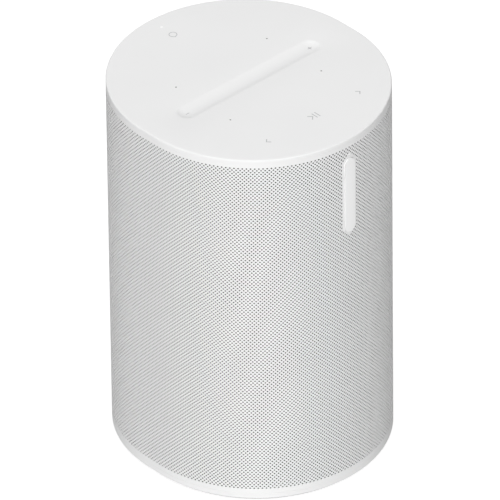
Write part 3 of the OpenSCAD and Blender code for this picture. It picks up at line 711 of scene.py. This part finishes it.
def groove_loop(half_width):
    """The groove's outline at a distance from its centre line."""
    reach = (GROOVE_L - GROOVE_W) / 2
    right = arc(reach, 0, half_width, -90, 90, GROOVE_END_STEPS)
    left = arc(-reach, 0, half_width, 90, 270, GROOVE_END_STEPS)
    return np.concatenate([right, left])


def groove_profile():
    """Distances from the groove's centre line and depths below the top, from the edge inwards."""
    scoop_r = (GROOVE_W**2 / 4 + GROOVE_DEPTH**2) / (2 * GROOVE_DEPTH)
    # Three points round off the edge, and the scoop's arc goes on from there to near the centre line.
    edge = [(GROOVE_W / 2 + GROOVE_EDGE_R, 0.0), (GROOVE_W / 2 + 0.12, 0.03), (GROOVE_W / 2 - 0.12, 0.11)]
    inner = np.linspace(GROOVE_W / 2 - 0.4, 0.25, 12)
    depths = GROOVE_DEPTH - (scoop_r - np.sqrt(scoop_r**2 - inner**2))
    return edge + list(zip(inner, depths))


def flat_face(loops, z, upwards):
    """Triangles that fill the first loop except for the others, at height z."""
    points, edges = [], []
    for loop in loops:
        add_line(points, edges, loop)
    flat, triangles = fill_between(points, edges)
    center = flat[triangles].mean(1)
    keep = inside_loop(center, loops[0])
    for loop in loops[1:]:
        keep &= ~inside_loop(center, loop)
    triangles = triangles[keep]
    if not upwards:
        triangles = triangles[:, ::-1]
    return at_height(flat, z), triangles


def welded(parts):
    """Joins parts of (vertices, triangles, quads) and merges corners that meet."""
    vertices, triangles, quads, start = [], [], [], 0
    for corners, three, four in parts:
        vertices.append(corners)
        triangles.append(np.asarray(three, int).reshape(-1, 3) + start)
        quads.append(np.asarray(four, int).reshape(-1, 4) + start)
        start += len(corners)
    merged, index = np.unique(np.round(np.concatenate(vertices), 4), axis=0, return_inverse=True)
    index = index.ravel()
    return merged, index[np.concatenate(triangles)], index[np.concatenate(quads)]


def hole_loop(x, y, r, steps=20):
    """A closed circle of points."""
    return arc(x, y, r, 0, 360 - 360 / steps, steps)


def sharp_by_angle(piece, degrees=32):
    """Marks creases sharper than the angle."""
    piece.data.set_sharp_from_angle(angle=math.radians(degrees))


def mic_places():
    """The microphone holes' centres, from the box of the gaskets round them."""
    x, y = mic_high[0] - MIC_GASKET_R, mic_high[1] - MIC_GASKET_R
    return [(sx * x, sy * y) for sx in (-1, 1) for sy in (-1, 1)]


def build_top_cap():
    """The cap's rim, skirt, finger groove and holes."""
    skirt_z = SEAM_TOP_Z - CAP_SKIRT_H
    inner = CAP_SKIRT_INSET + CAP_SKIRT_T
    side = [(CAP_SKIRT_INSET, SEAM_TOP_Z), (0, SEAM_TOP_Z), (0, TOP_Z - RIM_R - SUPPORT)]
    profile = [(inner, SEAM_TOP_Z), (inner, skirt_z), (CAP_SKIRT_INSET, skirt_z)] + side
    profile += fillet(0, TOP_Z - RIM_R, RIM_R, 1)
    rings = [outline_ring(inset, z) for inset, z in profile]
    shell, shell_quads = stack_rings(rings)
    groove = groove_profile()
    scoop = [at_height(groove_loop(w), TOP_Z - d) for w, d in groove]
    scoop_corners, scoop_quads = stack_rings(scoop)
    floor, floor_triangles = flat_face([groove_loop(groove[-1][0])], TOP_Z - groove[-1][1], True)
    led_y = (led_low[1] + led_high[1]) / 2
    holes = [hole_loop(x, y, MIC_R) for x, y in mic_places()]
    holes.append(hole_loop(0, led_y, LED_HOLE_R))
    top, top_triangles = flat_face([rings[-1][:, :2], groove_loop(groove[0][0]), *holes], TOP_Z, True)
    under, under_triangles = flat_face([rings[0][:, :2], *holes], SEAM_TOP_Z, False)
    parts = [
        (shell, [], shell_quads),
        (scoop_corners, [], scoop_quads),
        (floor, floor_triangles, []),
        (top, top_triangles, []),
        (under, under_triangles, []),
    ]
    for loop in holes:
        corners, quads = stack_rings([at_height(loop, z) for z in (TOP_Z, SEAM_TOP_Z)])
        parts.append((corners, [], quads))
    vertices, triangles, quads = welded(parts)
    piece = make_mesh("top_cap_shell", vertices, triangles, quads, cap_plastic)
    sharp_by_angle(piece)
    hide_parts("top_cap")


# Hems of cloth: their two faces' insets, their gap to the grille's edge, and how far they lap the liner.
HEM_INSETS = (0.9, 1.25)
HEM_GAP = 0.3
LOWER_HEM_LAP = 1.4
UPPER_HEM_LAP = 1.6


def build_cloth_hem(name, z0, z1):
    """A band of cloth bonded behind the grille, where the liner ends short of the last holes."""
    outer, inner = HEM_INSETS
    profile = [(inner, z0), (outer, z0), (outer, z1), (inner, z1), (inner, z0)]
    corners, quads = stack_rings([outline_ring(inset, z) for inset, z in profile])
    vertices, triangles, quads = welded([(corners, [], quads)])
    piece = make_mesh(name, vertices, triangles, quads, hem_cloth)
    sharp_by_angle(piece)


def build_mic_meshes():
    """A dark acoustic mesh just inside each microphone hole."""
    radius, top, thickness = MIC_R - 0.005, TOP_Z - 0.2, 0.1
    parts = []
    for x, y in mic_places():
        loop = hole_loop(x, y, radius)
        wall, quads = stack_rings([at_height(loop, z) for z in (top - thickness, top)])
        upper, upper_triangles = flat_face([loop], top, True)
        lower, lower_triangles = flat_face([loop], top - thickness, False)
        parts += [(wall, [], quads), (upper, upper_triangles, []), (lower, lower_triangles, [])]
    vertices, triangles, quads = welded(parts)
    cloth = woven("mic_mesh_cloth", (0.22, 0.22, 0.222), 0.00012, 0.00002)
    piece = make_mesh("microphone_meshes", vertices, triangles, quads, cloth)
    sharp_by_angle(piece)


# ---- Printed marks on the top face ----

LINE_W = 0.42
THIN_LINE_W = 0.3
VOICE_LINE_W = 0.36
INK_T = 0.03
SKIP_X, SKIP_Y, SKIP_SIZE = 27.6, -40.7, 2.9
PLAY_Y, PLAY_SIZE, BAR_REACH = -40.5, 3.3, 1.9
VOICE_Y, VOICE_R = 48.3, 1.75
LEVEL_X, LEVEL_REACH = 36.6, 1.1


def ribbon(points, width, closed=False):
    """A flat line of even width along points, mitred at its corners: corners and quads."""
    points = np.asarray(points, float)
    before = np.roll(points, 1, 0)
    after = np.roll(points, -1, 0)
    if not closed:
        before[0] = 2 * points[0] - points[1]
        after[-1] = 2 * points[-1] - points[-2]

    def side(a, b):
        d = (b - a) / np.linalg.norm(b - a, axis=1)[:, None]
        return np.stack([-d[:, 1], d[:, 0]], -1)

    n1, n2 = side(before, points), side(points, after)
    mitre = n1 + n2
    mitre /= np.linalg.norm(mitre, axis=1)[:, None]
    mitre *= (width / 2) / np.clip((mitre * n1).sum(1), 0.4, 1)[:, None]
    corners = np.concatenate([points - mitre, points + mitre])
    count = len(points)
    k = np.arange(count if closed else count - 1)
    after_k = (k + 1) % count
    return corners, np.stack([k, after_k, after_k + count, k + count], -1)


def raised(corners, quads, low, high):
    """A thin solid from flat quads."""
    count = len(corners)
    triangles = np.concatenate([quads[:, [0, 1, 2]], quads[:, [0, 2, 3]]])
    top = np.column_stack([corners, np.broadcast_to(high, count)])
    bottom = np.column_stack([corners, np.broadcast_to(low, count)])
    vertices, faces, sides, _ = thicken(top, bottom, triangles)
    return vertices, faces, sides


def chevron(x, y, size, way):
    """An arrow head that points along +X, or along -X if way is -1."""
    half = size / 2
    depth = size * 0.5 * way
    return [(x - depth / 2, y + half), (x + depth / 2, y), (x - depth / 2, y - half)]


def build_mark(name, strokes, z, closed=False, width=LINE_W):
    """One printed symbol, a thin solid that lies half in the surface at height z."""
    low, high = z - INK_T, z + INK_T
    parts = [raised(*ribbon(points, width, closed), low, high) for points in strokes]
    vertices, triangles, quads = welded(parts)
    piece = make_mesh(name, vertices, triangles, quads, mark_ink)
    sharp_by_angle(piece)


def build_marks():
    """Generic symbols: next, previous, play or pause, voice, louder and quieter."""
    build_mark("mark_next", [chevron(SKIP_X, SKIP_Y, SKIP_SIZE, 1)], TOP_Z)
    build_mark("mark_previous", [chevron(-SKIP_X + 0.8, SKIP_Y, SKIP_SIZE, -1)], TOP_Z)
    bars = [[(x, PLAY_Y + BAR_REACH), (x, PLAY_Y - BAR_REACH)] for x in (1.35, 2.95)]
    build_mark("mark_play", [chevron(-0.65, PLAY_Y, PLAY_SIZE, 1), *bars], TOP_Z)
    bubble = arc(-0.35, VOICE_Y, VOICE_R, -78, 232, 26)
    bubble = np.concatenate([bubble, [(-0.95, 46.2)]])
    build_mark("mark_voice", [bubble], TOP_Z, closed=True, width=VOICE_LINE_W)
    floor_z = TOP_Z - GROOVE_DEPTH + INK_T / 2
    across = [(LEVEL_X - LEVEL_REACH, 0), (LEVEL_X + LEVEL_REACH, 0)]
    upright = [(LEVEL_X, -LEVEL_REACH), (LEVEL_X, LEVEL_REACH)]
    dash = [(-LEVEL_X - LEVEL_REACH, 0), (-LEVEL_X + LEVEL_REACH, 0)]
    build_mark("mark_louder", [across, upright], floor_z + INK_T, width=THIN_LINE_W)
    build_mark("mark_quieter", [dash], floor_z, width=THIN_LINE_W)


# ---- Base ----

FOOT_W = 16
FOOT_GAP = 0.2
FOOT_HEADROOM = 0.1
BASE_LIP_H = 2.75
BASE_LIP_INSET = 1.5
INSERT_BORE_R = 4.5
INSERT_BORE_STEPS = 40


def build_base():
    """The lower band and the underside round the foot."""
    lip_z = SEAM_LOW_Z + BASE_LIP_H
    _, foot_high = box_mm("rubber_foot")
    foot_inset = base_high[0] - foot_high[0]
    recess_z = foot_high[2] + FOOT_HEADROOM
    outer = foot_inset - FOOT_GAP
    inner = foot_inset + FOOT_W + FOOT_GAP
    profile = [(inner, BASE_Z), (inner, recess_z), (outer, recess_z), (outer, BASE_Z)]
    profile += list(reversed(fillet(0, BASE_Z + BASE_EDGE_R, BASE_EDGE_R, -1)))
    profile += [(0, BASE_Z + BASE_EDGE_R + SUPPORT), (0, SEAM_LOW_Z)]
    profile += [(BASE_LIP_INSET, SEAM_LOW_Z), (BASE_LIP_INSET, lip_z)]
    rings = [outline_ring(inset, z) for inset, z in profile]
    shell, shell_quads = stack_rings(rings)
    bore = hole_loop(0, 0, INSERT_BORE_R, INSERT_BORE_STEPS)
    under, under_triangles = flat_face([rings[0][:, :2], bore], BASE_Z, False)
    upper, upper_triangles = flat_face([rings[-1][:, :2], bore], lip_z, True)
    tube, tube_quads = stack_rings([at_height(bore, z) for z in (lip_z, BASE_Z)])
    parts = [
        (shell, [], shell_quads),
        (under, under_triangles, []),
        (upper, upper_triangles, []),
        (tube, [], tube_quads),
    ]
    vertices, triangles, quads = welded(parts)
    piece = make_mesh("base_band", vertices, triangles, quads, cap_plastic)
    sharp_by_angle(piece)
    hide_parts("base_plate")


# ---- Floor and light ----

FLOOR_REACH = 6.0
FLOOR_GLOW = 0.78
SKY_STRENGTH = 0.3
BAND_STRENGTH = 2.13
BAND_FRONT_WEIGHT = 1.0
BAND_SHARPNESS = 12
KEY_STRENGTH = 1.44
KEY_SPREAD = 154
KEY_AZIMUTH = -83
KEY_ELEVATION = 61.6


def make_floor():
    """A pale floor that the camera sees, but that neither lights nor shades the object."""
    r = FLOOR_REACH
    mesh = bpy.data.meshes.new("floor")
    mesh.from_pydata([(-r, -r, 0), (r, -r, 0), (r, r, 0), (-r, r, 0)], [], [(0, 1, 2, 3)])
    glow = {"Emission_Color": (1, 1, 1, 1), "Emission_Strength": FLOOR_GLOW}
    material, _, _ = new_material("floor", (0.3, 0.3, 0.3), 0.9, **glow)
    mesh.materials.append(material)
    floor = bpy.data.objects.new("floor", mesh)
    floor.visible_diffuse = False
    floor.visible_glossy = False
    floor.visible_shadow = False
    bpy.context.scene.collection.objects.link(floor)


def facing(tree, place, towards):
    """How far a direction of the sky points along towards, from -1 to 1."""
    dot = tree.nodes.new("ShaderNodeVectorMath")
    dot.operation = "DOT_PRODUCT"
    dot.inputs[1].default_value = towards
    tree.links.new(place.outputs["Generated"], dot.inputs[0])
    return dot.outputs["Value"]


def make_world():
    """An even sky, with a broad arch of light over the object that is stronger in front."""
    world = bpy.data.worlds.new("studio")
    world.use_nodes = True
    tree = world.node_tree
    place = tree.nodes.new("ShaderNodeTexCoord")
    across = facing(tree, place, direction(CAMERA_AZIMUTH + 90, 0))
    square = math_node(tree, "MULTIPLY", across, across)
    arch = math_node(tree, "POWER", math_node(tree, "SUBTRACT", 1.0, square), BAND_SHARPNESS)
    along = facing(tree, place, direction(CAMERA_AZIMUTH, 0))
    weight = math_node(tree, "ADD", math_node(tree, "MULTIPLY", along, BAND_FRONT_WEIGHT), 1.0)
    arch = math_node(tree, "MULTIPLY", arch, weight)
    arch = math_node(tree, "MULTIPLY", arch, BAND_STRENGTH / 2)
    strength = math_node(tree, "ADD", arch, SKY_STRENGTH)
    tree.links.new(strength, tree.nodes["Background"].inputs["Strength"])
    tree.nodes["Background"].inputs["Color"].default_value = (1, 1, 1, 1)
    bpy.context.scene.world = world


def make_key():
    """One very wide light from above and to the left of the view."""
    data = bpy.data.lights.new("key", "SUN")
    data.energy = KEY_STRENGTH
    data.angle = math.radians(KEY_SPREAD)
    key = bpy.data.objects.new("key", data)
    key.rotation_euler = direction(KEY_AZIMUTH, KEY_ELEVATION).to_track_quat("Z", "Y").to_euler()
    bpy.context.scene.collection.objects.link(key)


bpy.context.scene.view_settings.view_transform = "Standard"
make_camera()
dress_cad_nodes()
build_grille()
build_top_cap()
build_cloth_hem("lower_cloth_hem", GRILLE_Z0 + HEM_GAP, liner_low[2] + LOWER_HEM_LAP)
build_cloth_hem("upper_cloth_hem", liner_high[2] - UPPER_HEM_LAP, GRILLE_Z1 - HEM_GAP)
build_mic_meshes()
build_marks()
build_base()
make_floor()
make_world()
make_key()
